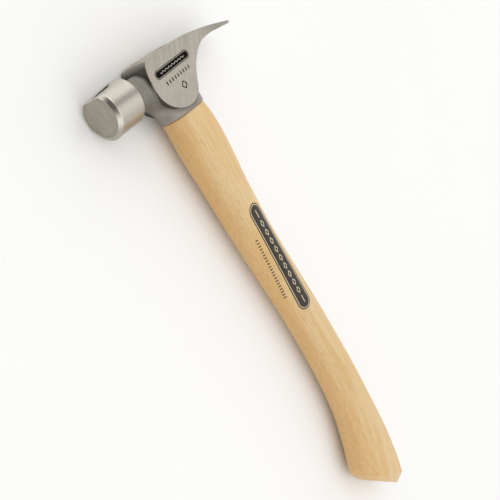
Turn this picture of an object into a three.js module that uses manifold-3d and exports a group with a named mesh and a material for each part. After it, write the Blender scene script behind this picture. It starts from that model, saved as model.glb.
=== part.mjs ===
// Claw hammer: a cast head on a curved wooden handle, held by a wooden wedge and two steel wedges.
// Sizes are in millimetres. X runs down the handle from the poll's axis, Y runs from the striking
// face to the claw, and Z runs across the cheeks, which is upwards when the hammer lies on its side.
import * as THREE from "three";
import { mergeVertices } from "three/addons/utils/BufferGeometryUtils.js";
import Module from "manifold-3d";

// Poll: the round striking end, turned about Y
const FACE_Y = -56.4;
const FACE_RADIUS = 11.9;
const POLL_CHAMFER = 1.6;
const POLL_RADIUS = 14.5;
const POLL_REAR_Y = -34;
const POLL_REAR_RADIUS = 14;
const POLL_REAR_EDGE = 0.8;

// Neck: an oval bar from inside the poll to inside the body, given as half sizes along X and Z
const NECK_START_Y = -37;
const NECK_END_Y = -8;
const NECK_X = 1.2;
const NECK_HALF_X = 9.9;
const NECK_HALF_Z = 10.4;

// Flat pad ground across the top of the poll, with the nail groove and its magnet
const PAD_FRONT_X = -10.3;
const PAD_SLOPE = 1 / 8;
const GROOVE_Y = -44.6;
const GROOVE_LENGTH = 13.6;
const GROOVE_WIDTH = 3.8;
const GROOVE_DEPTH = 2.6;
const NAIL_HEAD_RADIUS = 4.2;
const NAIL_HEAD_DEPTH = 2;
const MAGNET_Y = -53.2;
const MAGNET_RADIUS = 1.3;
const MAGNET_LENGTH = 2.6;

// Body and claw
const HEAD_TOP_X = -14;
const CROWN_RISE = 1.2;
const CROWN_RADIUS = 60;
const CROWN_FRONT_Y = -14;
const CROWN_REAR_Y = 16;
const CHEEK_Z = 11.8;
const CHEEK_BEVEL = 0.5;
const CLAW_TIP_Y = 81;
const CLAW_TAPER_Y = 26;
const CLAW_TIP_Z = 5.6;
const NOTCH_ROOT_Y = 44;
const NOTCH_ROOT_HALF = 1.3;
const NOTCH_MOUTH_HALF = 3.2;

// Collar and eye: rounded ovals, given as half sizes along Y and Z
const OVAL_POWER = 2.3;
const COLLAR_Y = 1;
const COLLAR_END_X = 25.2;
const COLLAR_HALF = [18.5, 11.3];
const EYE_TOP_HALF = [14.2, 8.8];
const EYE_WAIST_HALF = [13.6, 8.2];
const EYE_WAIST_X = 4;
const EYE_MOUTH_HALF = [16.4, 9.3];

// Handle
const FIT_GAP = 0.3;
const TONGUE_TOP_X = -12.9;
// Each row is x, y of the section's centre, its half width, half thickness, and tilt in degrees
const GRIP = [
  [25.5, 1.4, 17, 11, 0],
  [34, 2.2, 17.6, 11.8, 0],
  [45, 2.4, 18.1, 12.1, 0],
  [62, 2.1, 17.5, 11.9, 0],
  [85, 1.3, 16, 11.6, 0],
  [115, 1.1, 15, 11.4, 0],
  [150, 2.4, 14.7, 11.2, 0],
  [185, 4.1, 15, 11.2, 0],
  [220, 4.3, 15.7, 11.3, 0],
  [250, 3.2, 16.7, 11.6, 1],
  [275, 0.6, 18.3, 11.9, 4],
  [300, -4, 22, 12.3, 12],
  [320, -8.8, 25.4, 12.6, 26],
  [334.9, -12.4, 27.9, 13, 45],
];
// The chamfered end: the flat end's own section, in the same terms
const BUTT_END = [338.6, -17, 23.2, 9.6, 52];

// Wedges: thickness at the top and at the point, how deep they go, and half their width
const WOOD_WEDGE = { top: 4.2, point: 1.2, depth: 23, half: 15 };
const STEEL_WEDGE = { top: 2.4, point: 0.6, depth: 13, half: 5.5 };
const STEEL_WEDGE_Y = [-6.5, 7.5];
const KERF_DEPTH = 28;

// Mesh fineness
const OVAL_SIDES = 48;
const ROUND_SIDES = 56;
const SMALL_SIDES = 28;
const CROWN_SIDES = 300;
const CURVE_STEPS = 12;
const GRIP_STEPS = 30;

const wasm = await Module();
wasm.setup();

function solid(geometry) {
  const bare = geometry.index ? geometry.toNonIndexed() : geometry.clone();
  bare.deleteAttribute("normal");
  bare.deleteAttribute("uv");
  const merged = mergeVertices(bare, 1e-4);
  return new wasm.Manifold(
    new wasm.Mesh({
      numProp: 3,
      vertProperties: merged.attributes.position.array,
      triVerts: new Uint32Array(merged.index.array),
    }),
  );
}

function geometryOf(body) {
  const mesh = body.getMesh();
  const geometry = new THREE.BufferGeometry();
  geometry.setAttribute("position", new THREE.BufferAttribute(mesh.vertProperties, 3));
  geometry.setIndex(new THREE.BufferAttribute(mesh.triVerts, 1));
  const faceted = geometry.toNonIndexed();
  faceted.computeVertexNormals();
  return faceted;
}

// A closed loft through rounded-oval sections that follow one another down +X.
function loft(sections) {
  const rows = sections.length - 1;
  const geometry = new THREE.CylinderGeometry(1, 1, 1, OVAL_SIDES, rows);
  const position = geometry.attributes.position;
  const rounding = 2 / OVAL_POWER;
  for (let i = 0; i < position.count; i += 1) {
    const section = sections[Math.round((0.5 - position.getY(i)) * rows)];
    const across = position.getX(i);
    const up = position.getZ(i);
    const wide = Math.sign(across) * Math.abs(across) ** rounding * section.halfY;
    const thick = Math.sign(up) * Math.abs(up) ** rounding * section.halfZ;
    const tilt = THREE.MathUtils.degToRad(section.tilt);
    position.setXYZ(
      i,
      section.x + wide * Math.sin(tilt),
      section.y + wide * Math.cos(tilt),
      thick,
    );
  }
  return geometry;
}

function oval(x, y, [halfY, halfZ], grow = 0) {
  return { x, y, halfY: halfY + grow, halfZ: halfZ + grow, tilt: 0 };
}

// A solid of revolution about Y from [radius, y] pairs that start and end on the axis.
function turned(profile) {
  const points = profile.map(([radius, y]) => new THREE.Vector2(radius, y));
  return new THREE.LatheGeometry(points, ROUND_SIDES);
}

// Side view of the body and claw: the outline of the flat cheeks.
function sideOutline() {
  const shape = new THREE.Shape();
  shape.moveTo(HEAD_TOP_X, CROWN_FRONT_Y);
  shape.lineTo(HEAD_TOP_X, 20);
  shape.bezierCurveTo(-13, 38, -9, 60, -5, CLAW_TIP_Y);
  shape.lineTo(-3.3, CLAW_TIP_Y);
  shape.bezierCurveTo(-5.6, 64, -6.6, 48, -4.9, 38.3);
  shape.bezierCurveTo(-1.2, 26, 6.5, 19.6, 15, 14.7);
  shape.bezierCurveTo(19.6, 12, 22.7, 7.3, 22.7, 1);
  shape.bezierCurveTo(22.7, -9.5, 15.5, -20.4, 4, -20.4);
  shape.bezierCurveTo(-5.5, -20.6, -11.5, -18.6, HEAD_TOP_X, CROWN_FRONT_Y);
  return shape;
}

// Top view of the body and claw: parallel cheeks, then tapering claws with the nail notch.
// The shape's x is the hammer's Y, and its y is the hammer's Z.
function topOutline() {
  const front = -22;
  const middle = (CLAW_TAPER_Y + CLAW_TIP_Y) / 2;
  const shape = new THREE.Shape();
  shape.moveTo(front, -CHEEK_Z);
  shape.lineTo(CLAW_TAPER_Y, -CHEEK_Z);
  shape.quadraticCurveTo(middle, -CHEEK_Z, CLAW_TIP_Y, -CLAW_TIP_Z);
  shape.lineTo(CLAW_TIP_Y, -NOTCH_MOUTH_HALF);
  shape.lineTo(NOTCH_ROOT_Y, -NOTCH_ROOT_HALF);
  shape.absarc(NOTCH_ROOT_Y, 0, NOTCH_ROOT_HALF, -Math.PI / 2, Math.PI / 2, true);
  shape.lineTo(CLAW_TIP_Y, NOTCH_MOUTH_HALF);
  shape.lineTo(CLAW_TIP_Y, CLAW_TIP_Z);
  shape.quadraticCurveTo(middle, CHEEK_Z, CLAW_TAPER_Y, CHEEK_Z);
  shape.lineTo(front, CHEEK_Z);
  return shape;
}

function headBody() {
  const side = new THREE.ExtrudeGeometry(sideOutline(), {
    depth: 2 * (CHEEK_Z - CHEEK_BEVEL),
    curveSegments: CURVE_STEPS,
    bevelThickness: CHEEK_BEVEL,
    bevelSize: CHEEK_BEVEL,
    bevelOffset: -CHEEK_BEVEL,
    bevelSegments: 1,
  });
  side.translate(0, 0, -(CHEEK_Z - CHEEK_BEVEL));
  const above = -20;
  const below = 30;
  const top = new THREE.ExtrudeGeometry(topOutline(), {
    depth: below - above,
    curveSegments: CURVE_STEPS,
    bevelEnabled: false,
  });
  // The shape's plane turns to the hammer's Y and Z, and the extrusion runs down X.
  top.applyMatrix4(
    new THREE.Matrix4().makeBasis(
      new THREE.Vector3(0, 1, 0),
      new THREE.Vector3(0, 0, 1),
      new THREE.Vector3(1, 0, 0),
    ),
  );
  top.translate(above, 0, 0);
  return solid(side).intersect(solid(top)).add(crown());
}

// The low dome over the eye, highest at the front: a round bar tilted so that it sinks into the top.
function crown() {
  const length = CROWN_REAR_Y - CROWN_FRONT_Y;
  const bar = new THREE.CylinderGeometry(CROWN_RADIUS, CROWN_RADIUS, 3 * length, CROWN_SIDES);
  bar.translate(CROWN_RADIUS, 0, 0);
  bar.rotateZ(-Math.atan(CROWN_RISE / length));
  bar.translate(HEAD_TOP_X, CROWN_REAR_Y, 0);
  const block = new THREE.BoxGeometry(3 * CROWN_RISE, length, 2 * (CHEEK_Z - CHEEK_BEVEL));
  block.translate(HEAD_TOP_X, (CROWN_FRONT_Y + CROWN_REAR_Y) / 2, 0);
  return solid(bar).intersect(solid(block));
}

function poll() {
  return turned([
    [0, FACE_Y],
    [FACE_RADIUS, FACE_Y],
    [POLL_RADIUS, FACE_Y + POLL_CHAMFER],
    [POLL_REAR_RADIUS, POLL_REAR_Y - POLL_REAR_EDGE],
    [POLL_REAR_RADIUS - POLL_REAR_EDGE, POLL_REAR_Y],
    [0, POLL_REAR_Y],
  ]);
}

function neck() {
  const bar = new THREE.CylinderGeometry(1, 1, NECK_END_Y - NECK_START_Y, ROUND_SIDES);
  bar.scale(NECK_HALF_X, 1, NECK_HALF_Z);
  bar.translate(NECK_X, (NECK_START_Y + NECK_END_Y) / 2, 0);
  return bar;
}

// The collar that stands round the handle below the cheeks.
function collar() {
  return loft([
    oval(2, COLLAR_Y, COLLAR_HALF, -1.5),
    oval(12, COLLAR_Y, COLLAR_HALF, -0.2),
    oval(COLLAR_END_X - 1, COLLAR_Y, COLLAR_HALF),
    oval(COLLAR_END_X, COLLAR_Y, COLLAR_HALF, -0.6),
  ]);
}

// The fillet that joins the neck's underside to the front of the collar.
function neckWeb() {
  const width = 18;
  const rounding = 3;
  const shape = new THREE.Shape();
  shape.moveTo(4, -33);
  shape.lineTo(9.5, -33);
  shape.quadraticCurveTo(11.2, -21.5, 22, -16.5);
  shape.lineTo(22, -10);
  shape.lineTo(4, -10);
  const web = new THREE.ExtrudeGeometry(shape, {
    depth: width - 2 * rounding,
    curveSegments: CURVE_STEPS,
    bevelThickness: rounding,
    bevelSize: 2.5,
    bevelOffset: -2.5,
    bevelSegments: 3,
  });
  web.translate(0, 0, rounding - width / 2);
  return web;
}

function eye(grow) {
  const beyond = 3;
  return loft([
    oval(HEAD_TOP_X - beyond, COLLAR_Y, EYE_TOP_HALF, grow),
    oval(HEAD_TOP_X, COLLAR_Y, EYE_TOP_HALF, grow),
    oval(EYE_WAIST_X, COLLAR_Y, EYE_WAIST_HALF, grow),
    oval(COLLAR_END_X, COLLAR_Y, EYE_MOUTH_HALF, grow),
    oval(COLLAR_END_X + beyond, COLLAR_Y, EYE_MOUTH_HALF, grow),
  ]);
}

// x of the pad's sloping plane at a given y.
function padX(y) {
  return PAD_FRONT_X - PAD_SLOPE * (y - FACE_Y - POLL_CHAMFER);
}

// Everything cut from the poll's top is made level, then laid on the pad's slope at PAD_CENTRE_Y.
const PAD_CENTRE_Y = (FACE_Y + POLL_REAR_Y) / 2;
function onPad(geometry, y) {
  geometry.translate(0, y - PAD_CENTRE_Y, 0);
  geometry.rotateZ(Math.atan(PAD_SLOPE));
  geometry.translate(padX(PAD_CENTRE_Y), PAD_CENTRE_Y, 0);
  return solid(geometry);
}

function padCut() {
  const height = 10;
  const length = 60;
  const cut = new THREE.BoxGeometry(height, length, 3 * POLL_RADIUS);
  cut.translate(-height / 2, 0, 0);
  return onPad(cut, PAD_CENTRE_Y);
}

function grooveCut() {
  const bar = new THREE.CapsuleGeometry(GROOVE_WIDTH / 2, GROOVE_LENGTH - GROOVE_WIDTH, 6, 20);
  bar.translate(GROOVE_DEPTH - GROOVE_WIDTH / 2, 0, 0);
  const pocket = new THREE.CylinderGeometry(
    NAIL_HEAD_RADIUS,
    NAIL_HEAD_RADIUS,
    2 * NAIL_HEAD_DEPTH,
    SMALL_SIDES,
  );
  pocket.rotateZ(Math.PI / 2);
  return onPad(bar, GROOVE_Y).add(onPad(pocket, GROOVE_Y));
}

function magnet(grow) {
  const disc = new THREE.CylinderGeometry(
    MAGNET_RADIUS + grow,
    MAGNET_RADIUS + grow,
    MAGNET_LENGTH + 2 * grow,
    SMALL_SIDES,
  );
  disc.rotateZ(Math.PI / 2);
  disc.translate(MAGNET_LENGTH / 2, 0, 0);
  return onPad(disc, MAGNET_Y);
}

function headSolid() {
  return headBody()
    .add(solid(poll()))
    .add(solid(neck()))
    .add(solid(collar()))
    .add(solid(neckWeb()))
    .subtract(padCut())
    .subtract(grooveCut())
    .subtract(magnet(FIT_GAP))
    .subtract(solid(eye(0)));
}

// The grip's sections, evenly spaced along smooth curves through its stations.
function gripSections() {
  const centres = new THREE.CatmullRomCurve3(
    GRIP.map(([x, y, , , tilt]) => new THREE.Vector3(x, y, tilt)),
  );
  const halves = new THREE.CatmullRomCurve3(
    GRIP.map(([, , halfY, halfZ]) => new THREE.Vector3(halfY, halfZ, 0)),
  );
  const sections = [];
  for (let i = 0; i <= GRIP_STEPS; i += 1) {
    const centre = centres.getPoint(i / GRIP_STEPS);
    const half = halves.getPoint(i / GRIP_STEPS);
    sections.push(section([centre.x, centre.y, half.x, half.y, centre.z]));
  }
  return sections;
}

function section([x, y, halfY, halfZ, tilt]) {
  return { x, y, halfY, halfZ, tilt };
}

function handleLoft() {
  const shoulderX = GRIP[0][0];
  return loft([
    oval(TONGUE_TOP_X, COLLAR_Y, EYE_TOP_HALF, -FIT_GAP),
    oval(EYE_WAIST_X, COLLAR_Y, EYE_WAIST_HALF, -FIT_GAP),
    oval(shoulderX, COLLAR_Y, EYE_MOUTH_HALF, -FIT_GAP),
    ...gripSections(),
    section(BUTT_END),
  ]);
}

// A wedge whose point faces down +X. Its thickness is along Z, and its width along Y.
function wedge({ top, point, depth, half }, grow, above = 0) {
  const shape = new THREE.Shape();
  shape.moveTo(-above, -top / 2 - grow);
  shape.lineTo(depth + grow, -point / 2 - grow);
  shape.lineTo(depth + grow, point / 2 + grow);
  shape.lineTo(-above, top / 2 + grow);
  const geometry = new THREE.ExtrudeGeometry(shape, {
    depth: 2 * (half + grow),
    bevelEnabled: false,
  });
  geometry.translate(TONGUE_TOP_X, 0, -(half + grow));
  geometry.rotateX(Math.PI / 2);
  return geometry;
}

function steelWedge(y, grow, above) {
  return solid(wedge(STEEL_WEDGE, grow, above).rotateX(Math.PI / 2).translate(0, y, 0));
}

function withoutSteel(body) {
  return STEEL_WEDGE_Y.reduce((rest, y) => rest.subtract(steelWedge(y, FIT_GAP, 2)), body);
}

function handleSolid() {
  const kerf = wedge({ ...WOOD_WEDGE, depth: KERF_DEPTH }, FIT_GAP, 2);
  kerf.translate(0, COLLAR_Y, 0);
  return withoutSteel(solid(handleLoft()).subtract(solid(kerf)));
}

function woodWedgeSolid() {
  const body = wedge(WOOD_WEDGE, 0).translate(0, COLLAR_Y, 0);
  return withoutSteel(solid(body).intersect(solid(eye(-FIT_GAP))));
}

function piece(name, body, color, roughness, metalness) {
  const material = new THREE.MeshStandardMaterial({ color, roughness, metalness });
  const mesh = new THREE.Mesh(geometryOf(body), material);
  mesh.name = name;
  return mesh;
}

const hammer = new THREE.Group();
hammer.add(
  piece("hammer_head", headSolid(), 0xaba49b, 0.45, 0.9),
  piece("nail_magnet", magnet(0), 0x55565a, 0.35, 0.9),
  piece("handle", handleSolid(), 0xd9b780, 0.5, 0),
  piece("wood_wedge", woodWedgeSolid(), 0xb98a55, 0.6, 0),
  piece("steel_wedge_front", steelWedge(STEEL_WEDGE_Y[0], 0, 0), 0x8a8c8e, 0.5, 0.9),
  piece("steel_wedge_rear", steelWedge(STEEL_WEDGE_Y[1], 0, 0), 0x8a8c8e, 0.5, 0.9),
);

// The part's origin is the middle of its footprint, on the surface that it lies on.
const box = new THREE.Box3().setFromObject(hammer);
const middle = box.getCenter(new THREE.Vector3());
hammer.position.set(-middle.x, -middle.y, -box.min.z);
const part = new THREE.Group();
part.add(hammer);

export default part;
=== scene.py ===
"""Looks for the claw hammer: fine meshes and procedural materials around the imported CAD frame.

Shapes are worked out in the hammer's own axes, in millimetres: X runs down the handle from the
poll's axis, Y runs from the striking face to the claw, and Z runs across the cheeks.
"""
import math

import bmesh
import bpy
import numpy as np
from mathutils import Matrix, Vector


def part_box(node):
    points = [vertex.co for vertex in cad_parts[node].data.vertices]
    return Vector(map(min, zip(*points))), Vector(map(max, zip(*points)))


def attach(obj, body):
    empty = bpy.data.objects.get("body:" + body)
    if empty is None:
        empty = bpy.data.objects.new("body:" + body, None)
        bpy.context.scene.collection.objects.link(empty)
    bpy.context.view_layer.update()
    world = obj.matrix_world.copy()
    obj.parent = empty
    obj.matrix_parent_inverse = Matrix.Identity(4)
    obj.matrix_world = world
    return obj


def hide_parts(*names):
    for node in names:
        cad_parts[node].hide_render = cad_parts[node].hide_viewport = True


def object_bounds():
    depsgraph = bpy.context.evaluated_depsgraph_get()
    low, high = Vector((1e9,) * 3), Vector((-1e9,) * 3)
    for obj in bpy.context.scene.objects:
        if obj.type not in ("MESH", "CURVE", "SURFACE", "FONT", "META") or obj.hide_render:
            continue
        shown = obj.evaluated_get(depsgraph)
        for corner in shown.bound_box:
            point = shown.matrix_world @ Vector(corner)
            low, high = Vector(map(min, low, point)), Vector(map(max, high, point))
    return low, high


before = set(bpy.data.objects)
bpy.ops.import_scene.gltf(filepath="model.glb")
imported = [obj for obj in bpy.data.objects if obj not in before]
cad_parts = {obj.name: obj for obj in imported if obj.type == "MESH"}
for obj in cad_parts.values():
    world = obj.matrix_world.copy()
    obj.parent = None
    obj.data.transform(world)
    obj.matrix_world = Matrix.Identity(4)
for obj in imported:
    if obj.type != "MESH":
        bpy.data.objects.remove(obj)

cad_low, cad_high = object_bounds()
MM = 0.001

# Poll, and the ground pad on it with the nail groove and the magnet
FACE_Y = -56.4
FACE_RADIUS = 11.9
POLL_CHAMFER = 1.6
POLL_RADIUS = 14.5
POLL_REAR_Y = -34
POLL_REAR_RADIUS = 14
POLL_REAR_EDGE = 0.8
PAD_FRONT_X = -10.3
PAD_SLOPE = 1 / 8
PAD_CENTRE_Y = (FACE_Y + POLL_REAR_Y) / 2
PAD_CENTRE_X = PAD_FRONT_X - PAD_SLOPE * (PAD_CENTRE_Y - FACE_Y - POLL_CHAMFER)
GROOVE_Y = -44.6
GROOVE_LENGTH = 13.6
GROOVE_WIDTH = 3.8
GROOVE_DEPTH = 2.6
NAIL_HEAD_RADIUS = 4.2
NAIL_HEAD_DEPTH = 2
MAGNET_Y = -53.2
MAGNET_RADIUS = 1.3
MAGNET_LENGTH = 2.6
MAGNET_GAP = 0.15
MAGNET_SIDES = 40

# The neck is an oval bar: where it starts and ends, its middle and its half sizes
NECK_START_Y = -50
NECK_END_Y = -8
NECK_X = 1.2
NECK_HALF_X = 9.9
NECK_HALF_Z = 10.4

# Body, claw, collar and eye
HEAD_TOP_X = -14
CROWN_RISE = 1.2
CROWN_RADIUS = 60
CROWN_FRONT_Y = -14
CROWN_REAR_Y = 16
CHEEK_Z = 11.8
CORE_Z = 10.9
CLAW_TIP_Y = 81
CLAW_TAPER_Y = 26
CLAW_TIP_Z = 5.6
NOTCH_ROOT_Y = 44
NOTCH_ROOT_HALF = 1.3
NOTCH_MOUTH_HALF = 3.2
OVAL_POWER = 2.3
COLLAR_Y = 1
COLLAR_END_X = 25.2
# x, half width and half thickness of the collar
COLLAR = [(2, 17, 9.4), (10, 18, 10.1), (17, 18.4, 10.5), (22, 18.5, 11.1), (COLLAR_END_X, 18.5, 11.3)]

# Handle stations: x, y of the centre, half width, half thickness, tilt in degrees
GRIP = [
    (25.5, 1.4, 17, 11, 0),
    (34, 2.2, 17.6, 11.8, 0),
    (45, 2.4, 18.1, 12.1, 0),
    (62, 2.1, 17.5, 11.9, 0),
    (85, 1.3, 16, 11.6, 0),
    (115, 1.1, 15, 11.4, 0),
    (150, 2.4, 14.7, 11.2, 0),
    (185, 4.1, 15, 11.2, 0),
    (220, 4.3, 15.7, 11.3, 0),
    (250, 3.2, 16.7, 11.6, 1),
    (275, 0.6, 18.3, 11.9, 4),
    (300, -4, 22, 12.3, 12),
    (320, -8.8, 25.4, 12.6, 26),
    (334.9, -12.4, 27.9, 13, 45),
]
BUTT_END = (338.6, -17, 23.2, 9.6, 52)
TONGUE_TOP_X = -12.9
# x, half width and half thickness of the eye, which the tongue fills
EYE = [(-17, 14.2, 8.8), (-14, 14.2, 8.8), (4, 13.6, 8.2), (25.2, 16.4, 9.3), (28, 16.4, 9.3)]
TONGUE_GAP = 0.12
HANDLE_SIDES = 128
GRIP_STEPS = 200

# Wedges: thickness at the top and at the point, depth, and half the width
WOOD_WEDGE = (4.2, 1.2, 23, 15)
STEEL_WEDGE = (2.4, 0.6, 13, 5.5)
STEEL_WEDGE_Y = {"steel_wedge_front": -6.5, "steel_wedge_rear": 7.5}
WEDGE_GAP = 0.06
PLUG_SIDES = 96
PLUG_STEPS = 24

# Size of the grid cells that the head is meshed on
HEAD_CELL = 0.48

# The hammer's axes start at the poll's axis; the frame's corner of the head says where that is.
head_low, head_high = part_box("hammer_head")
ORIGIN = np.array([
    head_low.x - (HEAD_TOP_X - CROWN_RISE) * MM,
    head_low.y - FACE_Y * MM,
    (head_low.z + head_high.z) / 2,
])


def to_frame(points):
    """Hammer axes in millimetres to the shared frame in metres."""
    return np.asarray(points, float) * MM + ORIGIN


# ---- distance fields

def bezier(start, handle_a, handle_b, end, steps=12):
    """Points along a cubic curve, without its first point."""
    t = np.linspace(0, 1, steps + 1)[1:, None]
    a, b, c, d = (np.array(p, float) for p in (start, handle_a, handle_b, end))
    return (1 - t) ** 3 * a + 3 * (1 - t) ** 2 * t * b + 3 * (1 - t) * t ** 2 * c + t ** 3 * d


def polygon_distance(points, u, v):
    """Signed distance from (u, v) to a closed outline, negative inside."""
    u, v = np.broadcast_arrays(u, v)
    nearest = np.full(u.shape, np.inf)
    inside = np.zeros(u.shape, bool)
    for (u0, v0), (u1, v1) in zip(points, np.roll(points, -1, axis=0)):
        du = u1 - u0
        dv = v1 - v0
        t = np.clip(((u - u0) * du + (v - v0) * dv) / (du * du + dv * dv), 0, 1)
        nearest = np.minimum(nearest, (u - u0 - t * du) ** 2 + (v - v0 - t * dv) ** 2)
        if dv != 0:
            inside ^= ((v0 > v) != (v1 > v)) & (u < u0 + (v - v0) * du / dv)
    return np.sqrt(nearest) * np.where(inside, -1, 1)


def smooth_max(a, b, k):
    """The larger of two distances, with the edge between them rounded over about k."""
    h = np.maximum(k - np.abs(a - b), 0) / k
    return np.maximum(a, b) + h * h * k / 4


def smooth_min(a, b, k):
    """The smaller of two distances, with the corner between them filled over about k."""
    return -smooth_max(-a, -b, k)


def smooth_step(value, start, end):
    """0 up to start, 1 from end on, and an S curve between them."""
    t = np.clip((value - start) / (end - start), 0, 1)
    return t * t * (3 - 2 * t)


def oval_distance(y, z, half_y, half_z):
    """Approximate signed distance to a rounded oval."""
    u = np.abs(y / half_y)
    v = np.abs(z / half_z)
    g = np.maximum((u ** OVAL_POWER + v ** OVAL_POWER) ** (1 / OVAL_POWER), 1e-3)
    scale = g ** (1 - OVAL_POWER)
    slope_y = scale * u ** (OVAL_POWER - 1) / half_y
    slope_z = scale * v ** (OVAL_POWER - 1) / half_z
    return (g - 1) / np.maximum(np.hypot(slope_y, slope_z), 1e-3)


def top_curve():
    """The outline's top edge, as y and x values, from the flat over the eye to the claw's tip."""
    curve = bezier((HEAD_TOP_X, 20), (-13, 38), (-9, 60), (-5, CLAW_TIP_Y), 24)
    beyond = curve[-1] + 2 * (curve[-1] - curve[-2])
    points = np.vstack([(HEAD_TOP_X, -60), (HEAD_TOP_X, 20), curve, beyond])
    return points[:, 1], points[:, 0]


def side_outline():
    """Side view of the body in (x, y), left open above the head's top."""
    reach = 30
    front_top = (HEAD_TOP_X, CROWN_FRONT_Y)
    front_leave = (-22, 0.7)
    start = [front_leave, (-reach, 0.7), (-reach, CLAW_TIP_Y), (-3.3, CLAW_TIP_Y)]
    return np.vstack([
        start,
        bezier((-3.3, CLAW_TIP_Y), (-5.6, 64), (-6.6, 48), (-4.9, 38.3)),
        bezier((-4.9, 38.3), (-1.2, 26), (6.5, 19.6), (15, 14.7)),
        bezier((15, 14.7), (19.6, 12), (22.7, 7.3), (22.7, 1)),
        bezier((22.7, 1), (22.7, -9.5), (15.5, -20.4), (4, -20.4)),
        bezier((4, -20.4), (-5.5, -20.6), (-11.5, -18.6), front_top),
    ])


def plan_outline():
    """Top view of the body in (y, z): parallel cheeks, then tapering claws."""
    start = (CLAW_TAPER_Y, CHEEK_Z)
    middle = ((CLAW_TAPER_Y + CLAW_TIP_Y) / 2, CHEEK_Z)
    end = (CLAW_TIP_Y, CLAW_TIP_Z)
    # A quadratic curve written as a cubic one
    first = [s + 2 / 3 * (m - s) for s, m in zip(start, middle)]
    second = [e + 2 / 3 * (m - e) for e, m in zip(end, middle)]
    edge = np.vstack([(-60, CHEEK_Z), start, bezier(start, first, second, end)])
    leave = edge[-1] + 3 * (edge[-1] - edge[-2])
    edge = np.vstack([edge, leave])
    return np.vstack([edge, edge[::-1] * (1, -1)])


def notch_outline():
    """The nail notch in (y, z): a round root that widens to the mouth."""
    angles = np.linspace(-math.pi / 2, -3 * math.pi / 2, 9)
    root = np.stack([
        NOTCH_ROOT_Y + NOTCH_ROOT_HALF * np.cos(angles),
        NOTCH_ROOT_HALF * np.sin(angles),
    ], axis=1)
    widening = (NOTCH_MOUTH_HALF - NOTCH_ROOT_HALF) / (CLAW_TIP_Y - NOTCH_ROOT_Y)
    mouth_y = CLAW_TIP_Y + 12
    mouth = NOTCH_ROOT_HALF + widening * (mouth_y - NOTCH_ROOT_Y)
    return np.vstack([root, (mouth_y, mouth), (mouth_y, -mouth)])


def poll_outline():
    """Half section of the poll in (radius, y), carried past the axis."""
    past = -10
    return np.array([
        (past, FACE_Y),
        (FACE_RADIUS, FACE_Y),
        (POLL_RADIUS, FACE_Y + POLL_CHAMFER),
        (POLL_REAR_RADIUS, POLL_REAR_Y - POLL_REAR_EDGE),
        (POLL_REAR_RADIUS - POLL_REAR_EDGE, POLL_REAR_Y),
        (past, POLL_REAR_Y),
    ], float)


TOP_Y, TOP_X = top_curve()
SIDE = side_outline()
PLAN = plan_outline()
NOTCH = notch_outline()
POLL = poll_outline()


def top_surface(y, z):
    """x of the head's top: the outline's edge, or the low dome over the eye where that is higher."""
    edge = np.interp(y, TOP_Y, TOP_X)
    fall = CROWN_RISE * (y - CROWN_FRONT_Y) / (CROWN_REAR_Y - CROWN_FRONT_Y)
    dome = HEAD_TOP_X - CROWN_RISE + fall + z * z / (2 * CROWN_RADIUS)
    dome = dome + 0.02 * np.maximum(y - CROWN_REAR_Y, 0) ** 2
    return smooth_min(edge, dome, 0.6)


def body_field(x, y, z):
    """The body with its claws and the notch between them."""
    side = polygon_distance(SIDE, x, y)
    plan = polygon_distance(PLAN, y, z)
    top = 0.98 * (top_surface(y, z) - x)
    front_round = 0.5 + 2.4 * (1 - smooth_step(y, -6, 24))
    body = smooth_max(side, top, front_round)
    body = smooth_max(body, plan, 1.0)
    # The claws' outer lower edges are rounded more and more towards the tips
    body = np.maximum(body, smooth_max(side, plan, 1.0 + 3.4 * smooth_step(y, 44, 78)))
    # The notch is wider on the handle's side, where its edges are bevelled
    bevel = np.clip(0.5 * (x - top_surface(y, z) - 2.0), 0, 1.2) * (1 - smooth_step(y, 62, 76))
    notch = polygon_distance(NOTCH, y, z) - bevel
    return smooth_max(body, -notch, 0.5)


def halves_at(rows, x):
    """Half width and half thickness at x, from rows of x and both halves."""
    row_x, half_y, half_z = np.transpose(rows)
    return np.interp(x, row_x, half_y), np.interp(x, row_x, half_z)


def collar_field(x, y, z):
    """The collar, from inside the body to its flat end."""
    round_wall = oval_distance(y - COLLAR_Y, z, *halves_at(COLLAR, x))
    collar = smooth_max(round_wall, x - COLLAR_END_X, 1.0)
    return np.maximum(collar, COLLAR[0][0] - x)


def eye_field(x, y, z):
    """The hole that the handle's tongue fills."""
    return oval_distance(y - COLLAR_Y, z, *halves_at(EYE, x))


def eye_row(x, gap=0.0):
    """The eye's section at x, less a gap, in the same terms as the handle's stations."""
    half_y, half_z = halves_at(EYE, x)
    return x, COLLAR_Y, half_y - gap, half_z - gap, 0


def pad_axes(x, y):
    """Depth below the pad's sloping plane, and the distance along it from the pad's centre."""
    length = math.hypot(1, PAD_SLOPE)
    depth = (x - PAD_CENTRE_X + PAD_SLOPE * (y - PAD_CENTRE_Y)) / length
    along = (y - PAD_CENTRE_Y - PAD_SLOPE * (x - PAD_CENTRE_X)) / length
    return depth, along


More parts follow.
